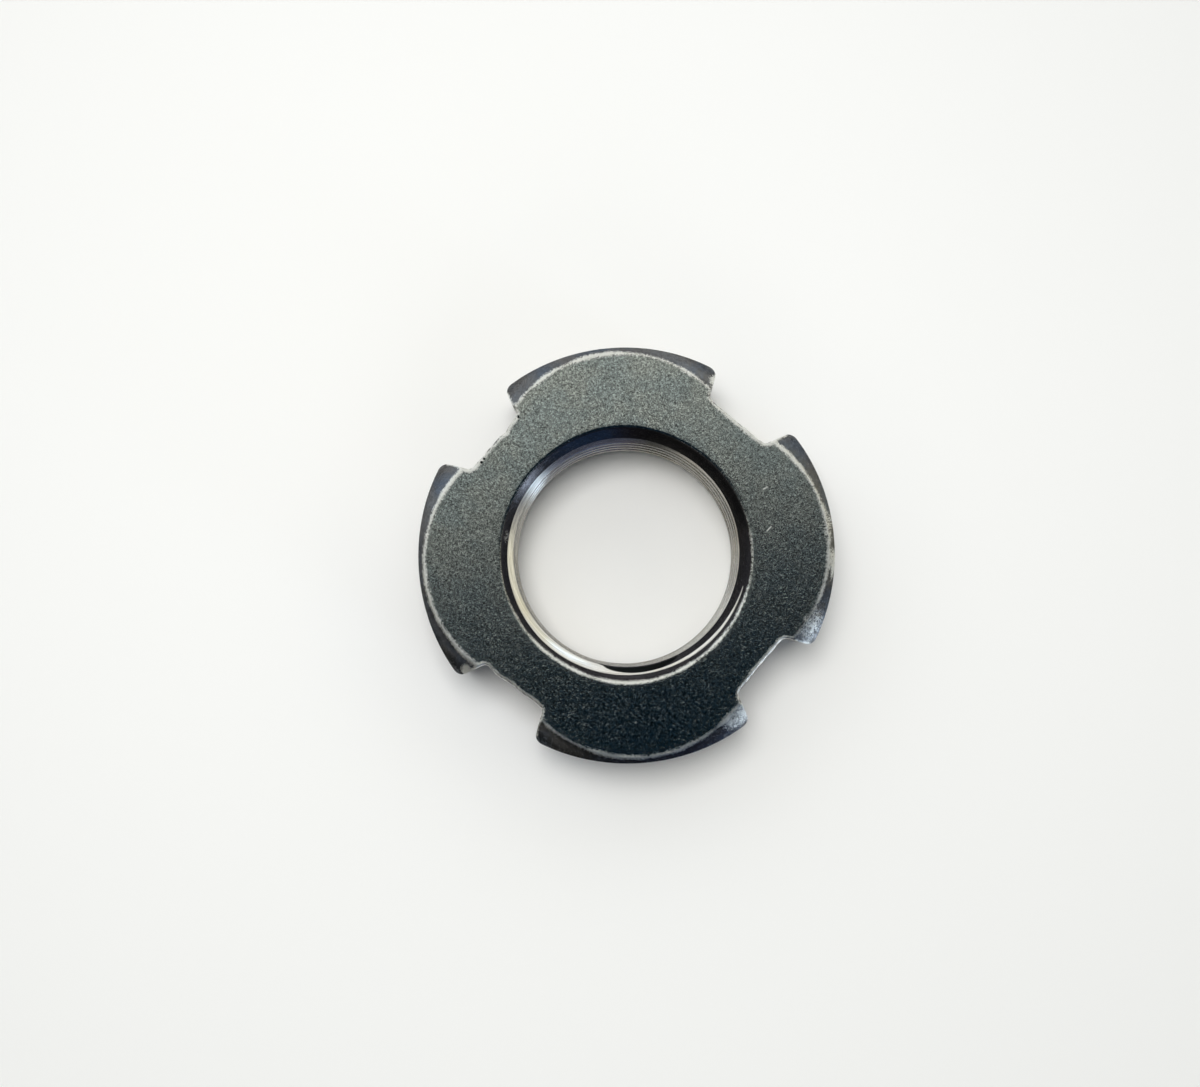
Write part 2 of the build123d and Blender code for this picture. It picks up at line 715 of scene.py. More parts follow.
@dataclass
class Tap:
    """The tap that cuts the right-hand thread.

    Attributes:
        thickness: Of the blank.
        minor_radius: Of the finished thread's crests.
        major_radius: At the thread's roots.
        pitch: Rise in one turn.
        flank_angle: Angle between a flank and the plane across the axis, in degrees.
        root_flat: Width of the root.
        corner_round: Rounding of the crests' corners.
        crest_share: Share of that rounding that still has the crest's finish.
        lead: Depth of a groove's middle below the upper face, at angle 0.
        black_depth: Depth to which the crests keep all of the bore's black.
        margin_turns: Turns past each face.
        steps: Cells in a full turn.
    """

    thickness: float
    minor_radius: float
    major_radius: float = 7.0 * MM
    pitch: float = 1.0 * MM
    flank_angle: float = 30.0
    root_flat: float = 0.25 * MM
    corner_round: float = 0.04 * MM
    crest_share: float = 0.3
    lead: float = 0.195 * MM
    black_depth: float = 1.3 * MM
    margin_turns: int = 2
    steps: int = 240

    def form(self) -> list[Point]:
        """One pitch of the tap's form, as pairs of radius and height, from crest to crest.

        Returns:
            The form's points.
        """
        depth = self.major_radius - self.minor_radius
        lean = math.tan(math.radians(self.flank_angle))
        root = self.root_flat / 2
        flank = root + depth * lean
        soft = self.corner_round
        half = [
            (self.minor_radius, self.pitch / 2),
            (self.minor_radius, flank + soft),
            (self.minor_radius + soft / 3, flank + soft / 8),
            (self.minor_radius + soft, flank - soft * lean),
            (self.major_radius - depth / 2, (flank + root) / 2),
            (self.major_radius - soft, root + soft * lean),
            (self.major_radius, root - soft / 2),
            (self.major_radius, 0.0),
        ]
        return [(radius, -height) for radius, height in half] + half[-2::-1]

    def build(self) -> bpy.types.Object:
        """Screw the form up the axis and close both ends on it.

        Returns:
            The tap.
        """
        turns = math.ceil(self.thickness / self.pitch) + 2 * self.margin_turns
        start = self.thickness - self.lead - self.pitch * (turns - self.margin_turns)
        form = [Vector((radius, 0, start + height)) for radius, height in self.form()]
        tap = draw_chain("tap", form, closed=False)
        pick(tap)
        screw = tap.modifiers.new("thread", "SCREW")
        screw.axis = "Z"
        screw.screw_offset = self.pitch
        screw.iterations = turns
        screw.steps = screw.render_steps = self.steps
        bpy.ops.object.modifier_apply(modifier=screw.name)
        middle = start + self.pitch * turns / 2
        with editing(tap):
            bpy.ops.mesh.remove_doubles(threshold=WELD)
            for above in (False, True):
                select_where(
                    tap,
                    Select.EDGES,
                    lambda edge: edge.is_boundary and (edge.verts[0].co.z > middle) == above,
                )
                bpy.ops.mesh.extrude_edges_move()
                bpy.ops.mesh.merge(type="CENTER")
            tidy_shell(WELD / 10)
        coat(tap, self.zone)
        return tap

    def zone(self, face: bpy.types.MeshPolygon) -> Zone:
        """Tell the bright flanks from the crests, which keep some of the bore's black.

        Args:
            face: A face of the tap.

        Returns:
            The zone of the face that it cuts.
        """
        if face.center.xy.length > self.minor_radius + self.crest_share * self.corner_round:
            return Zone.THREAD
        return Zone.BORE if face.center.z > self.thickness - self.black_depth else Zone.CREST


class Nodes:
    """A short hand for building a node tree.

    Attributes:
        tree: The tree that is built.
    """

    def __init__(self, tree: bpy.types.NodeTree) -> None:
        """Start on a tree.

        Args:
            tree: The tree to build.
        """
        self.tree = tree

    def add(self, kind: str, **settings: object) -> bpy.types.Node:
        """Add a node.

        Args:
            kind: The node's type.
            settings: Its properties.

        Returns:
            The node.
        """
        node = self.tree.nodes.new(kind)
        for name, value in settings.items():
            setattr(node, name, value)
        return node

    def link(self, source: Source, socket: Socket) -> None:
        """Link an output to an input, or set the input where the source is a plain value.

        Args:
            source: An output socket, a number or a colour.
            socket: The input.
        """
        if isinstance(source, Socket):
            self.tree.links.new(source, socket)
        elif isinstance(source, tuple) and socket.type == "RGBA":
            socket.default_value = (*source, 1.0)
        else:
            socket.default_value = source

    def object_place(self) -> Socket:
        """The place on the object itself."""
        return self.add("ShaderNodeTexCoord").outputs["Object"]

    def ring_place(self, place: Socket, drift: float = 0.03) -> Socket:
        """Turn a place into radius and height, so that a pattern runs in rings.

        Args:
            place: The place on the object.
            drift: Share of its own X and Y that is added, so that a ring changes on its way.

        Returns:
            The place to give to a texture.
        """
        flat = self.flat(place)
        rings = self.add("ShaderNodeCombineXYZ")
        self.link(self.vector("LENGTH", flat), rings.inputs["X"])
        self.link(self.along(place, UP), rings.inputs["Z"])
        return self.vector("ADD", self.vector("SCALE", flat, scale=drift), rings.outputs[0])

    def split(self, place: Socket) -> Sequence[Socket]:
        """Take a place apart.

        Args:
            place: The place.

        Returns:
            Its X, Y and Z.
        """
        node = self.add("ShaderNodeSeparateXYZ")
        self.link(place, node.inputs[0])
        return node.outputs

    def flat(self, place: Socket) -> Socket:
        """A place or a direction without its height."""
        return self.vector("MULTIPLY", place, (1.0, 1.0, 0.0))

    def vector(self, operation: str, *sources: Source, scale: Source = 1.0) -> Socket:
        """Work on vectors.

        Args:
            operation: The operation.
            sources: The vectors.
            scale: What SCALE multiplies by.

        Returns:
            The result, which is a plain value from LENGTH and DOT_PRODUCT.
        """
        node = self.add("ShaderNodeVectorMath", operation=operation)
        for source, socket in zip(sources, node.inputs):
            self.link(source, socket)
        if operation == "SCALE":
            self.link(scale, node.inputs["Scale"])
        return node.outputs["Value" if operation in ("LENGTH", "DOT_PRODUCT") else "Vector"]

    def noise(
        self,
        place: Socket,
        size: float,
        detail: float,
        roughness: float,
        distortion: float = 0.0,
    ) -> Socket:
        """An even noise with lumps of a size, from 0 to 1.

        Args:
            place: Where it is read.
            size: Size of its lumps.
            detail: Octaves.
            roughness: Share of the finer octaves.
            distortion: How far it is curled.

        Returns:
            The noise's value.
        """
        node = self.add("ShaderNodeTexNoise")
        self.link(place, node.inputs["Vector"])
        node.inputs["Scale"].default_value = 1 / size
        node.inputs["Detail"].default_value = detail
        node.inputs["Roughness"].default_value = roughness
        node.inputs["Distortion"].default_value = distortion
        return node.outputs["Fac"]

    def ramp(self, value: Source, low: float, high: float, start: float, end: float) -> Socket:
        """Map a range to another, smoothly and held at both ends.

        Args:
            value: What is mapped.
            low: The value that gives start.
            high: The value that gives end.
            start: The result at low.
            end: The result at high.

        Returns:
            The mapped value.
        """
        node = self.add("ShaderNodeMapRange", interpolation_type="SMOOTHSTEP")
        for socket, source in zip(node.inputs, (value, low, high, start, end)):
            self.link(source, socket)
        return node.outputs["Result"]

    def math(self, operation: str, a: Source, b: Source) -> Socket:
        """Work on two values.

        Args:
            operation: The operation.
            a: The first value.
            b: The second value.

        Returns:
            The result.
        """
        node = self.add("ShaderNodeMath", operation=operation)
        self.link(a, node.inputs[0])
        self.link(b, node.inputs[1])
        return node.outputs[0]

    def distance(self, value: Source, middle: Source) -> Socket:
        """How far a value is from another, on either side."""
        return self.math("ABSOLUTE", self.math("SUBTRACT", value, middle), 0.0)

    def dashes(
        self, place: Socket, size: float, line: Point = (0.01, 0.045), pieces: Point = (0.48, 0.6)
    ) -> Socket:
        """Short curved dashes: pieces of the lines where a noise has its middle value.

        Args:
            place: Where the noise is read.
            size: Size of the noise's lumps.
            line: How far from the middle value a line begins to fade, and where it ends.
            pieces: Value of a finer noise where a line begins to show, and where it is full.

        Returns:
            The dashes, from 0 to 1.
        """
        curled = self.noise(place, size, detail=2, roughness=0.6, distortion=0.6)
        lines = self.ramp(self.distance(curled, 0.5), *line, 1.0, 0.0)
        finer = self.noise(place, size / 2, detail=1, roughness=0.5)
        return self.math("MULTIPLY", lines, self.ramp(finer, *pieces, 0.0, 1.0))

    def squared(self, value: Source) -> Socket:
        """A value times itself."""
        return self.math("MULTIPLY", value, value)

    def along(self, place: Socket, direction: Vector) -> Socket:
        """How far a place lies in a direction."""
        return self.vector("DOT_PRODUCT", place, direction)

    def mix_colour(self, share: Source, a: Source, b: Source, blend_type: str = "MIX") -> Socket:
        """Blend from one colour to another.

        Args:
            share: How far to blend, from 0 to 1.
            a: The first colour.
            b: The second colour.
            blend_type: How they are blended.

        Returns:
            The colour.
        """
        node = self.add("ShaderNodeMix", data_type="RGBA", blend_type=blend_type)
        self.link(share, node.inputs[0])
        self.link(a, node.inputs[6])
        self.link(b, node.inputs[7])
        return node.outputs[2]

    def mix_value(self, share: Source, a: Source, b: Source) -> Socket:
        """Blend from one value to another.

        Args:
            share: How far to blend, from 0 to 1.
            a: The first value.
            b: The second value.

        Returns:
            The value.
        """
        node = self.add("ShaderNodeMix", data_type="FLOAT")
        self.link(share, node.inputs[0])
        self.link(a, node.inputs[2])
        self.link(b, node.inputs[3])
        return node.outputs[0]

    def bump(self, height: Source, distance: float, under: Source | None = None) -> Socket:
        """Bump a surface by a height from 0 to 1 times a distance.

        Args:
            height: The height.
            distance: What a height of 1 stands for.
            under: A bump that this one lies on.

        Returns:
            The bent normal.
        """
        node = self.add("ShaderNodeBump")
        node.inputs["Distance"].default_value = distance
        self.link(height, node.inputs["Height"])
        if under is not None:
            self.link(under, node.inputs["Normal"])
        return node.outputs[0]


@dataclass(frozen=True)
class DarkPatch:
    """A dark, glossy patch on the first turn, over the crest's edge.

    Attributes:
        angle: Bearing of its middle, in degrees, within half a turn of 0.
        half_angle: How far it reaches round the bore each way, in degrees.
        radius: Where it is longest, from the axis.
        width: How far it reaches outwards from there.
        lowest: Height under which there is none.
        colour: Its reflectance.
        roughness: Its roughness.
        solid: Where it begins to thin out, as the square of a share of its reach.
    """

    angle: float = -42.5
    half_angle: float = 20.0
    radius: float = 6.59 * MM
    width: float = 0.32 * MM
    lowest: float = 4.4 * MM
    colour: Colour = (0.008, 0.01, 0.01)
    roughness: float = 0.12
    solid: float = 0.8

    def share(self, nodes: Nodes, place: Socket) -> Socket:
        """Where the patch lies, from 0 to 1.

        Args:
            nodes: The material's nodes.
            place: The place on the nut.

        Returns:
            The patch's share.
        """
        x, y, z = nodes.split(place)
        turned = nodes.math("SUBTRACT", nodes.math("ARCTAN2", y, x), math.radians(self.angle))
        along = nodes.math("DIVIDE", turned, math.radians(self.half_angle))
        radius = nodes.vector("LENGTH", nodes.flat(place))
        outwards = nodes.math("SUBTRACT", radius, self.radius)
        across = nodes.math("DIVIDE", outwards, self.width)
        far = nodes.math("ADD", nodes.squared(along), nodes.squared(across))
        inside = nodes.ramp(far, self.solid, 1.0, 1.0, 0.0)
        shown = nodes.math("MULTIPLY", inside, nodes.math("GREATER_THAN", z, self.lowest))
        return nodes.math("MULTIPLY", shown, nodes.math("GREATER_THAN", outwards, 0.0))


@dataclass(frozen=True)
class Scratch:
    """A bright scratch on the upper face.

    Attributes:
        angle: Bearing of its middle from the nut's axis, in degrees.
        radius: Distance of its middle from the axis.
        heading: Its own direction, in degrees.
        length: From end to end.
        width: Half its width.
        lowest: Height under which there is none.
    """

    angle: float
    radius: float
    heading: float
    length: float
    width: float = 0.05 * MM
    lowest: float = 5.4 * MM

    def share(self, nodes: Nodes, place: Socket) -> Socket:
        """Where the scratch lies, from 0 to 1.

        Args:
            nodes: The material's nodes.
            place: The place on the nut.

        Returns:
            The share of bare steel.
        """
        middle = polar(self.radius, math.radians(self.angle))
        shown = nodes.math("GREATER_THAN", nodes.along(place, UP), self.lowest)
        for heading, reach in ((self.heading, self.length / 2), (self.heading + 90, self.width)):
            direction = polar(1, math.radians(heading))
            far = nodes.distance(nodes.along(place, direction), middle.dot(direction))
            shown = nodes.math("MULTIPLY", shown, nodes.ramp(far, reach / 3, reach, 1.0, 0.0))
        return shown


@dataclass(frozen=True)
class Finish:
    """A black oxide finish over steel, worn along its edges.

    Attributes:
        zone: The surface that it covers.
        colour: Of the oxide, as its reflectance.
        cast: What patches of it have their colour multiplied by.
        cast_band: Values of the patches' noise where the cast sets in, and is full.
        roughness: Of the oxide.
        uneven: How far its roughness varies each way, as a share.
        grain: Size of the fine texture, which is curled into short dashes.
        grain_height: Its height.
        grain_contrast: How much it shifts the colour.
        lump: Size of the coarser unevenness.
        lump_height: Its height.
        patch: Size of the patches that differ in colour and wear.
        dash: Size of the noise that the sparse, short dashes follow.
        nicks: Height of those dashes.
        nicked: How bare the steel is in them.
        dulled: How far they take on its roughness.
        bare: Colour of the steel under the oxide.
        bare_roughness: Roughness of the steel.
        broken: How far the grain breaks up the wear.
        patchy: How far the wear changes from patch to patch.
        wear_band: Wear at which the steel begins to show, and at which it is bare.
        turned: Whether the marks run in rings round the axis.
        dark_patch: The dark, glossy patch on it.
        scratches: The scratches in it.
    """

    zone: Zone
    colour: Colour
    cast: Colour
    cast_band: Point = (0.4, 0.65)
    roughness: float = 0.2
    uneven: float = 0.12
    grain: float = 0.1 * MM
    grain_height: float = 0.006 * MM
    grain_contrast: float = 0.4
    lump: float = 0.3 * MM
    lump_height: float = 0.02 * MM
    patch: float = 2.2 * MM
    dash: float = 0.32 * MM
    nicks: float = 0.0
    nicked: float = 0.0
    dulled: float = 0.0
    bare: Colour = (0.82, 0.82, 0.77)
    bare_roughness: float = 0.42
    broken: float = 0.35
    patchy: float = 0.25
    wear_band: Point = (0.25, 0.85)
    turned: bool = False
    dark_patch: DarkPatch | None = None
    scratches: tuple[Scratch, ...] = ()

    def material(self) -> bpy.types.Material:
        """The finish's material, which is made only once."""
        name = f"{self.zone.name.lower()}_oxide"
        return bpy.data.materials.get(name) or self.build(name)

    def build(self, name: str) -> bpy.types.Material:
        """Make the node material.

        Args:
            name: The material's name.

        Returns:
            The material.
        """
        material = bpy.data.materials.new(name)
        material.use_nodes = True
        nodes = Nodes(material.node_tree)
        shader = nodes.tree.nodes["Principled BSDF"]
        shader.inputs["Metallic"].default_value = 1.0
        where = nodes.object_place()
        place = nodes.ring_place(where) if self.turned else where
        fine = nodes.noise(place, self.grain, detail=4, roughness=0.75, distortion=1.5)
        coarse = nodes.noise(place, self.lump, detail=2, roughness=0.5)
        patches = nodes.noise(where, self.patch, detail=3, roughness=0.6)
        nicks = nodes.dashes(where, self.dash)
        bared = self.bared(nodes, where, fine, patches, nicks)
        colour = nodes.mix_colour(bared, self.oxide(nodes, fine, patches), self.bare)
        rough = self.rough(nodes, coarse, nicks, bared)
        if self.dark_patch:
            dark_share = self.dark_patch.share(nodes, where)
            colour = nodes.mix_colour(dark_share, colour, self.dark_patch.colour)
            rough = nodes.mix_value(dark_share, rough, self.dark_patch.roughness)
        bumps = nodes.bump(coarse, self.lump_height)
        bumps = nodes.bump(nicks, self.nicks, bumps)
        bumps = nodes.bump(fine, self.grain_height, bumps)
        for source, name in ((colour, "Base Color"), (rough, "Roughness"), (bumps, "Normal")):
            nodes.link(source, shader.inputs[name])
        return material

    def oxide(self, nodes: Nodes, fine: Socket, patches: Socket) -> Socket:
        """The oxide's colour, with its grain and its patches.

        Args:
            nodes: The material's nodes.
            fine: The fine grain.
            patches: The slow change over the surface.

        Returns:
            The colour.
        """
        share = nodes.ramp(patches, *self.cast_band, 0.0, 1.0)
        tint = nodes.mix_colour(share, (1.0, 1.0, 1.0), self.cast)
        contrast = nodes.ramp(fine, *FINE_SPAN, 1 - self.grain_contrast, 1 + self.grain_contrast)
        grained = nodes.vector("SCALE", self.colour, scale=contrast)
        return nodes.mix_colour(1.0, grained, tint, blend_type="MULTIPLY")

    def bared(
        self, nodes: Nodes, where: Socket, fine: Socket, patches: Socket, nicks: Socket
    ) -> Socket:
        """How bare the steel is: most on a worn edge, and on the lit side of a countersink's rim,
        where it is partly a painted highlight, broken up by the grain and in patches.

        Args:
            nodes: The material's nodes.
            where: The place on the nut.
            fine: The fine grain.
            patches: The slow change over the surface.
            nicks: The short dashes.

        Returns:
            The share of bare steel.
        """
        edge = nodes.add("ShaderNodeAttribute", attribute_name=WEAR_AND_HIGHLIGHT).outputs["Fac"]
        broken = nodes.ramp(fine, *FINE_SPAN, -self.broken, self.broken)
        patchy = nodes.ramp(patches, *PATCH_SPAN, -self.patchy, self.patchy)
        wear = nodes.math("ADD", edge, nodes.math("ADD", broken, patchy))
        bared = nodes.ramp(wear, *self.wear_band, 0.0, 1.0)
        bared = nodes.math("MAXIMUM", bared, nodes.math("MULTIPLY", nicks, self.nicked))
        for scratch in self.scratches:
            bared = nodes.math("MAXIMUM", bared, scratch.share(nodes, where))
        return bared

    def rough(self, nodes: Nodes, coarse: Socket, nicks: Socket, bared: Socket) -> Socket:
        """How rough the surface is: as the oxide, or as the steel where that is bare.

        Args:
            nodes: The material's nodes.
            coarse: The coarser unevenness.
            nicks: The short dashes.
            bared: The share of bare steel.

        Returns:
            The roughness.
        """
        low, high = (self.roughness * (1 + change) for change in (-self.uneven, self.uneven))
        oxide = nodes.ramp(coarse, *COARSE_SPAN, low, high)
        dull = nodes.math("MULTIPLY", nicks, self.dulled)
        oxide = nodes.mix_value(dull, oxide, self.bare_roughness)
        return nodes.mix_value(bared, oxide, self.bare_roughness)


THREAD_FINISH = Finish(
    Zone.THREAD,
    colour=(0.75, 0.74, 0.7),
    cast=(0.95, 0.93, 0.88),
    grain=0.05 * MM,
    grain_height=0.001 * MM,
    grain_contrast=0.18,
    lump_height=0.003 * MM,
    turned=True,
    dark_patch=DarkPatch(),
)

FINISHES = (
    Finish(
        Zone.FACE,
        colour=(0.195, 0.21, 0.193),
        cast=(0.88, 0.93, 0.97),
        roughness=0.15,
        grain_height=0.005 * MM,
        grain_contrast=0.85,
        lump=0.35 * MM,
        lump_height=0.003 * MM,
        nicks=0.002 * MM,
        nicked=0.05,
        dulled=0.04,
        scratches=(
            Scratch(angle=49.8, radius=8.32 * MM, heading=87.0, length=0.55 * MM),
            Scratch(angle=65.2, radius=8.85 * MM, heading=62.0, length=0.42 * MM),
        ),
    ),
    Finish(
        Zone.SHOULDER,
        colour=(0.13, 0.13, 0.13),
        cast=(0.75, 0.87, 1.05),
        nicks=0.005 * MM,
        nicked=0.04,
    ),
    Finish(Zone.WALL, colour=(0.12, 0.12, 0.12), cast=(1.0, 0.9, 0.8), roughness=0.3),
    Finish(
        Zone.BORE,
        colour=(0.06, 0.06, 0.066),
        cast=(1.25, 1.2, 1.15),
        grain=0.09 * MM,
        grain_height=0.004 * MM,
        grain_contrast=0.5,
        lump_height=0.004 * MM,
        nicks=0.002 * MM,
        dark_patch=DarkPatch(),
    ),
    THREAD_FINISH,
    replace(THREAD_FINISH, zone=Zone.CREST, colour=(0.22, 0.215, 0.21), dark_patch=None),
)


@dataclass(frozen=True)
class Rub:
    """A spot on the upper side where knocks have bared the steel.

    Attributes:
        angle: Its bearing from the nut's axis, in degrees within half a turn of 0.
        half_angle: How far it reaches round the axis each way, in degrees.
        radius: Distance of its middle from the axis.
        width: How far it reaches in and out.
        share: How bare its middle is.
        lowest: Height under which it isn't seen.
    """

    angle: float
    half_angle: float
    radius: float
    width: float
    share: float
    lowest: float = 4.0 * MM

    def at(self, place: Vector) -> float:
        """How bare a place is.

        Args:
            place: The place.

        Returns:
            The share, which goes on falling below 0 outside the spot.
        """
        along = (math.degrees(math.atan2(place.y, place.x)) - self.angle) / self.half_angle
        across = (place.xy.length - self.radius) / self.width
        return self.share - along**2 - across**2 if place.z > self.lowest else UNWORN


@dataclass
class LockNut:
    """The finished nut: its cuts and its wear.

    Attributes:
        thickness: From the CAD box.
        outer_radius: Over the lobes.
        minor_radius: Of the thread: the record's, and the play that the tap leaves.
        countersink_radius: At both faces.
        tapping_stock: Material that the tap takes off the bore.
        crease_wear: Reach of the wear on the shoulders' inner edges.
        slot_wear: Reach of the wear on the slots' edges.
        rim_wear_and_highlight: Reach of the wear and of the painted highlight on the countersinks'
            rims, in radius.
        rim_band: Width of the face's band where only the rims are worn.
        lobe_band: Width of the outermost band, whose edges aren't worn.
        worn_and_lit_side: Bearing of the side where the rims are worn most and catch the light, in
            degrees; the bare steel there is partly a painted highlight.
        sharp: Angle over which any edge is one that wears, in degrees.
        smooth: Angle up to which an edge is shaded smooth, in degrees.
        rubs: Knocked spots.
    """

    thickness: float = field(default_factory=lambda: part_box(NODE)[1].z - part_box(NODE)[0].z)
    outer_radius: float = 12.0 * MM
    minor_radius: float = field(
        default_factory=lambda: (mount_sizes("thread")["r_mm"] + TAP_PLAY) * MM
    )
    countersink_radius: float = 7.3 * MM
    tapping_stock: float = 0.15 * MM
    crease_wear: float = 0.2 * MM
    slot_wear: float = 0.17 * MM
    rim_wear_and_highlight: float = 0.17 * MM
    rim_band: float = 0.5 * MM
    lobe_band: float = 0.4 * MM
    worn_and_lit_side: float = 320.0
    sharp: float = 28.0
    smooth: float = 30.0
    rubs: tuple[Rub, ...] = (
        Rub(angle=47.0, half_angle=8.0, radius=11.7 * MM, width=0.5 * MM, share=0.6),
        Rub(angle=37.0, half_angle=6.0, radius=11.9 * MM, width=0.15 * MM, share=1.1),
        Rub(angle=19.0, half_angle=8.0, radius=11.3 * MM, width=0.8 * MM, share=0.8),
        Rub(angle=-15.0, half_angle=8.0, radius=11.3 * MM, width=0.8 * MM, share=0.7),
        Rub(angle=-148.0, half_angle=6.0, radius=7.0 * MM, width=0.25 * MM, share=0.7),
        Rub(angle=103.4, half_angle=2.0, radius=11.3 * MM, width=0.4 * MM, share=1.1),
        Rub(angle=-104.0, half_angle=2.0, radius=11.4 * MM, width=0.4 * MM, share=1.0),
        Rub(angle=13.0, half_angle=2.0, radius=11.6 * MM, width=0.4 * MM, share=1.0),
    )

    def __post_init__(self) -> None:
        """Set up the blank, which knows where its countersinks lie."""
        bore_radius = self.minor_radius - self.tapping_stock
        self.blank = Blank(self.outer_radius, self.thickness, bore_radius, self.countersink_radius)

    def build(self) -> bpy.types.Object:
        """Make the nut's mesh by the steps of its manufacture, and dress it.

        Returns:
            The nut.
        """
        nut = self.blank.build()
        cut(nut, SlotCutter(self.outer_radius, self.thickness).build())
        cut(nut, ShoulderCutter(self.outer_radius, self.thickness).build())
        cut(nut, Tap(self.thickness, self.minor_radius).build())
        with editing(nut):
            tidy_shell(WELD / 10)
        self.mark_wear_and_highlight(nut)
        pick(nut)
        bpy.ops.object.shade_smooth_by_angle(angle=math.radians(self.smooth))
        return nut

    def wear_reach(self, place: Vector, zones: set[Zone]) -> float:
        """How far the wear reaches from an edge between zones, or 0 where it isn't worn.

        Args:
            place: The edge's middle.
            zones: The zones that meet there.

        Returns:
            The reach.
        """
        if place.xy.length < self.countersink_radius + self.rim_band:
            return 0.0
        # Torn places inside a slot have sharp edges too, but nothing rubs there
        if zones == {Zone.WALL} and min(place.z, self.thickness - place.z) > self.slot_wear:
            return 0.0
        if zones == {Zone.FACE, Zone.SHOULDER}:
            return self.crease_wear
        return self.slot_wear if place.xy.length < self.outer_radius - self.lobe_band else 0.0

    def rim_share(self, place: Vector) -> float:
        """How worn a place is by its distance from a countersink's rim, most on the side where the rim
        catches the light, so that it is partly a painted highlight.

        Args:
            place: The place.

        Returns:
            1 at most on the rim, and less than 0 beyond the wear's reach.
        """
        depth = min(place.z, self.thickness - place.z)
        if depth > self.blank.rim_round:
            return UNWORN
        # The rim is bared most on the side where it catches the light: wear and painted highlight
        # together
        side = math.cos(math.atan2(place.y, place.x) - math.radians(self.worn_and_lit_side))
        return 0.5 + 0.5 * side - abs(self.blank.cone_depth(place)) / self.rim_wear_and_highlight

    def worn_edges(self, mesh: bmesh.types.BMesh) -> dict[float, KDTree]:
        """Find the edges that wear: the sharp ones, and those where zones meet.

        Args:
            mesh: The nut's mesh.

        Returns:
            For each reach of the wear, a search tree over points on its edges.
        """
        points: dict[float, list[Vector]] = {}
        for edge in mesh.edges:
            zones = {Zone(face.material_index) for face in edge.link_faces}
            if len(zones) > 1 or edge.calc_face_angle(0.0) > math.radians(self.sharp):
                start, end = (vertex.co for vertex in edge.verts)
                middle = (start + end) / 2
                reach = self.wear_reach(middle, zones)
                if reach:
                    points.setdefault(reach, []).extend([start, middle, end])
        return {reach: nearest(places) for reach, places in points.items()}

    def mark_wear_and_highlight(self, nut: bpy.types.Object) -> None:
        """Write how worn each vertex is, the painted highlight on the countersinks' rims included: 1
        on an edge, 0 where the wear ends, less beyond.

        Args:
            nut: The nut.
        """
        mesh = bmesh.new()
        mesh.from_mesh(nut.data)
        trees = self.worn_edges(mesh)
        layer = mesh.verts.layers.float.new(WEAR_AND_HIGHLIGHT)
        for vertex in mesh.verts:
            shares = (1 - tree.find(vertex.co)[2] / reach for reach, tree in trees.items())
            knocked = (rub.at(vertex.co) for rub in self.rubs)
            vertex[layer] = max(UNWORN, self.rim_share(vertex.co), *shares, *knocked)
        mesh.to_mesh(nut.data)
        mesh.free()


@dataclass(frozen=True)
class Glow:
    """A soft bright part of the sky, such as a window.

    Attributes:
        bearing: Where it stands round the nut, in degrees from the picture's right.
        spread: How far it reaches to each side, in degrees.
        low: Sine of the height over the horizon where it begins.
        high: Sine of the height where it ends.
        colour: Its light.
        soft: Over what rise it begins and ends, as a sine.
    """

    bearing: float
    spread: float
    low: float
    high: float
    colour: Colour
    soft: float = 0.1

    def share(self, nodes: Nodes, level: Socket, height: Socket, turn: float) -> Socket:
        """Where the glow lies in the sky, from 0 to 1.

        Args:
            nodes: The sky's nodes.
            level: The direction of view, made level.
            height: Sine of the view's height over the horizon.
            turn: How far the picture's right is turned from +X, in degrees.

        Returns:
            The share of its light.
        """
        middle = polar(1, math.radians(turn + self.bearing))
        edge = math.cos(math.radians(self.spread))
        aside = nodes.ramp(nodes.along(level, middle), edge, (1 + edge) / 2, 0.0, 1.0)
        over = nodes.ramp(height, self.low, self.low + self.soft, 0.0, 1.0)
        under = nodes.ramp(height, self.high - self.soft, self.high, 1.0, 0.0)
        return nodes.math("MULTIPLY", aside, nodes.math("MULTIPLY", over, under))


@dataclass(frozen=True)
class Card:
    """A dark card behind the camera, which the upper side of the metal mirrors.

    Attributes:
        low: Its colour near the horizon.
        high: Its colour overhead.
        band: Sines of the heights between which low turns to high.
        edge: Direction sine at which it ends overhead, up the picture.
        soft: Half the width of that edge.
        tilt: How far that edge runs up to the right, in degrees.
        side: Direction sine at which it ends to the right.
        side_soft: Half the width of that edge.
    """

    low: Colour = (0.09, 0.08, 0.11)
    high: Colour = (0.006, 0.03, 0.06)
    band: Point = (0.3, 0.9)
    edge: float = 0.1
    soft: float = 0.07
    tilt: float = 13.0
    side: float = 0.8
    side_soft: float = 0.1

    def share(self, nodes: Nodes, look: Socket, turn: float) -> Socket:
        """Where the card lies in the sky, from 0 to 1.

        Args:
            nodes: The sky's nodes.
            look: The direction of view.
            turn: How far the picture's right is turned from +X, in degrees.

        Returns:
            The share of its colour.
        """
        onwards = polar(1, math.radians(turn + 90 + self.tilt))
        lean = nodes.math("SUBTRACT", nodes.along(look, onwards), nodes.along(look, UP))
        edge = self.edge - 1
        below = nodes.ramp(lean, edge - self.soft, edge + self.soft, 1.0, 0.0)
        right = nodes.along(look, polar(1, math.radians(turn)))
        beside = nodes.ramp(right, self.side - self.side_soft, self.side + self.side_soft, 1.0, 0.0)
        return nodes.math("MULTIPLY", below, beside)


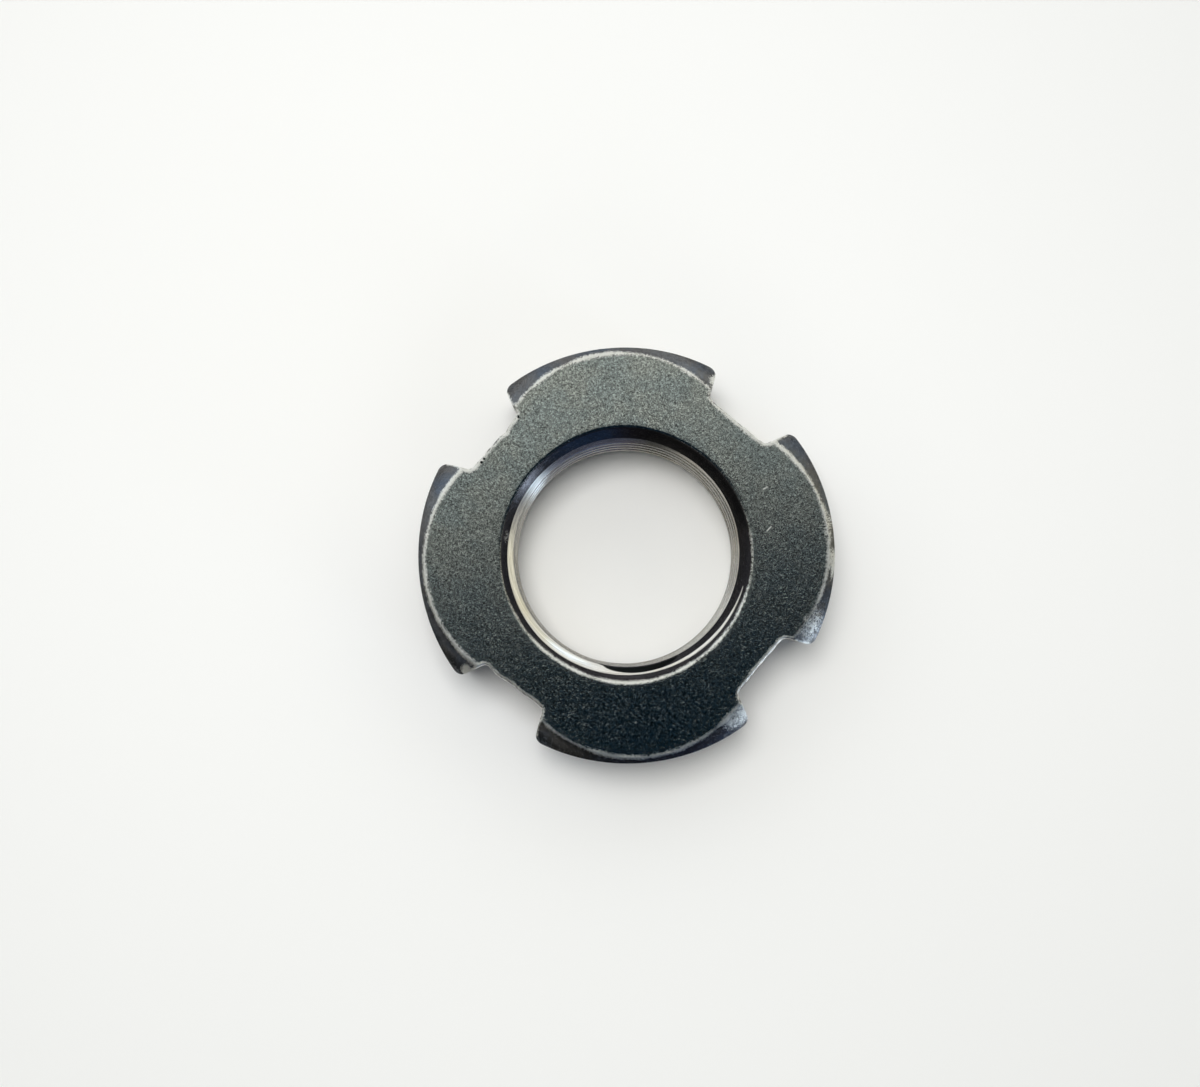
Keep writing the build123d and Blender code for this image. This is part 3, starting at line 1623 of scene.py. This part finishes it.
@dataclass(frozen=True)
class Sky:
    """The soft sky: paler overhead, with its glows, and dark behind the camera.

    Attributes:
        low: Its colour at the horizon.
        middle: Its colour at a third of the way up.
        high: Its colour overhead.
        lower_band: Sines of the heights between which low turns to middle.
        upper_band: Sines of the heights between which middle turns to high.
        backdrop: Colour of the plain wall that the camera sees in its place.
        card: The dark card in it.
        glows: Its soft bright parts.
    """

    low: Colour = (0.28, 0.28, 0.29)
    middle: Colour = (0.42, 0.41, 0.38)
    high: Colour = (1.4, 1.41, 1.37)
    lower_band: Point = (0.1, 0.4)
    upper_band: Point = (0.75, 0.96)
    backdrop: Colour = (0.9, 0.9, 0.88)
    card: Card = Card()
    glows: tuple[Glow, ...] = (
        Glow(bearing=228, spread=46, low=-0.1, high=0.85, colour=(0.055, 0.055, 0.05)),
        Glow(bearing=198, spread=55, low=0.4, high=0.62, colour=(0.7, 0.68, 0.65)),
        Glow(bearing=97, spread=70, low=0.1, high=0.75, colour=(0.97, 0.97, 0.95)),
        Glow(bearing=139, spread=26, low=0.35, high=0.85, colour=(1.05, 1.15, 1.25)),
        Glow(bearing=32, spread=42, low=0.3, high=0.7, colour=(0.9, 0.87, 0.72)),
        Glow(bearing=62, spread=12, low=0.35, high=0.7, colour=(1.25, 1.4, 1.55)),
        Glow(bearing=295, spread=20, low=-0.1, high=0.35, colour=(0.12, 0.25, 0.5)),
        Glow(bearing=328, spread=6, low=-0.1, high=0.7, colour=(1.15, 1.4, 1.7)),
        Glow(bearing=327, spread=5.5, low=-0.1, high=0.3, colour=(4.6, 5.5, 6.6)),
    )

    def paint(self, turn: float) -> None:
        """Make the sky the scene's world.

        Args:
            turn: How far the picture's right is turned from +X, in degrees.
        """
        world = bpy.data.worlds.new("soft_sky")
        world.use_nodes = True
        bpy.context.scene.world = world
        nodes = Nodes(world.node_tree)
        look = nodes.add("ShaderNodeTexCoord").outputs["Generated"]
        level = nodes.vector("NORMALIZE", nodes.flat(look))
        height = nodes.along(look, UP)
        light = nodes.mix_colour(nodes.ramp(height, *self.lower_band, 0.0, 1.0), self.low, self.middle)
        light = nodes.mix_colour(nodes.ramp(height, *self.upper_band, 0.0, 1.0), light, self.high)
        rise = nodes.ramp(height, *self.card.band, 0.0, 1.0)
        card = nodes.mix_colour(rise, self.card.low, self.card.high)
        light = nodes.mix_colour(self.card.share(nodes, look, turn), light, card)
        for glow in self.glows:
            light = nodes.mix_colour(glow.share(nodes, level, height, turn), light, glow.colour)
        seen = nodes.add("ShaderNodeLightPath").outputs["Is Camera Ray"]
        light = nodes.mix_colour(seen, light, self.backdrop)
        nodes.link(light, nodes.tree.nodes["Background"].inputs["Color"])


@dataclass(frozen=True)
class Lamp:
    """A soft lamp that lights the table. The metal doesn't mirror it.

    Attributes:
        name: The lamp's name.
        place: Where it hangs: right, up in the picture, and above the table.
        size: Side of its square.
        power: In watts.
    """

    name: str
    place: tuple[float, float, float]
    size: float
    power: float

    def hang(self, place: Vector) -> None:
        """Hang the lamp so that it faces the nut.

        Args:
            place: Where it hangs, in the world.
        """
        light = bpy.data.lights.new(self.name, "AREA")
        light.size = self.size
        light.energy = self.power
        lamp = bpy.data.objects.new(self.name, light)
        bpy.context.scene.collection.objects.link(lamp)
        lamp.visible_glossy = False
        facing = place.to_track_quat("Z", "Y").to_matrix().to_4x4()
        lamp.matrix_world = Matrix.Translation(place) @ facing


@dataclass
class Studio:
    """The pale table, the sky, the lamps and the camera.

    Attributes:
        nut: The nut that is shown.
        turn: How far the nut is turned on the table, in degrees.
        dip: How far the camera leans from straight down, in degrees.
        eye: Where the camera stands: right, up in the picture, and above the nut.
        lens: In millimetres.
        sight: How far the camera sees.
        table_size: Side of the table.
        table_colour: The table's colour.
        matt: The table's roughness.
        sheen: How much it shines.
        sky: The sky over it.
        lamps: The lamps that light it.
    """

    nut: LockNut
    turn: float = 40.0
    dip: float = 3.13
    eye: tuple[float, float, float] = (-1.53 * MM, -3.01 * MM, 65.4 * MM)
    lens: float = 34.16
    sight: float = 10.0
    table_size: float = 4.0
    table_colour: Colour = (0.96, 0.95, 0.92)
    matt: float = 0.7
    sheen: float = 0.1
    sky: Sky = Sky()
    lamps: tuple[Lamp, ...] = (
        Lamp("overhead_lamp", place=(-0.015, 0.029, 0.137), size=0.06, power=0.098),
        Lamp("fill_lamp", place=(0.09, -0.43, 0.1), size=0.28, power=0.36),
    )

    @property
    def right(self) -> Vector:
        """The picture's right, on the table."""
        return polar(1, math.radians(self.turn))

    @property
    def up(self) -> Vector:
        """The picture's up, on the table."""
        return polar(1, math.radians(self.turn + 90))

    def at(self, right: float, up: float, height: float) -> Vector:
        """A place given by the picture's right and up, and the height over the table."""
        return self.right * right + self.up * up + UP * height

    def build(self) -> None:
        """Set up the whole studio."""
        self.place_camera()
        self.lay_table()
        for lamp in self.lamps:
            lamp.hang(self.at(*lamp.place))
        self.sky.paint(self.turn)

    def place_camera(self) -> None:
        """Stand the camera over the nut, as the photograph was taken."""
        camera = bpy.data.objects.new("camera", bpy.data.cameras.new("camera"))
        bpy.context.scene.collection.objects.link(camera)
        bpy.context.scene.camera = camera
        camera.data.lens = self.lens
        camera.data.clip_start = MM
        camera.data.clip_end = self.sight
        lean = math.radians(self.dip)
        look = self.up * math.sin(lean) - UP * math.cos(lean)
        head = self.up * math.cos(lean) + UP * math.sin(lean)
        right, up, height = self.eye
        place = self.at(right, up, self.nut.thickness + height)
        turned = Matrix((self.right, head, -look)).transposed().to_4x4()
        camera.matrix_world = Matrix.Translation(place) @ turned

    def lay_table(self) -> None:
        """Lay the pale, matt table under the nut."""
        bpy.ops.object.select_all(action="DESELECT")
        bpy.ops.mesh.primitive_plane_add(size=self.table_size)
        table = bpy.context.object
        table.name = "table"
        table.data.materials.append(self.pale_matt())

    def pale_matt(self) -> bpy.types.Material:
        """Make the table's plain material.

        Returns:
            The material.
        """
        material = bpy.data.materials.new("pale_table")
        material.use_nodes = True
        shader = material.node_tree.nodes["Principled BSDF"]
        shader.inputs["Base Color"].default_value = (*self.table_colour, 1.0)
        shader.inputs["Roughness"].default_value = self.matt
        shader.inputs["Specular IOR Level"].default_value = self.sheen
        return material


def main() -> None:
    """Build the nut and the studio, and report each piece."""
    logging.basicConfig(level=logging.INFO, format="%(name)s: %(message)s")
    bpy.context.scene.view_settings.view_transform = "Standard"
    nut = LockNut()
    piece = nut.build()
    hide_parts(NODE)
    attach(piece, BODY)
    log.info("%s: %d faces", piece.name, len(piece.data.polygons))
    Studio(nut).build()
    log.info("studio: table, lamps, sky and camera")


if __name__ == "__main__":
    main()
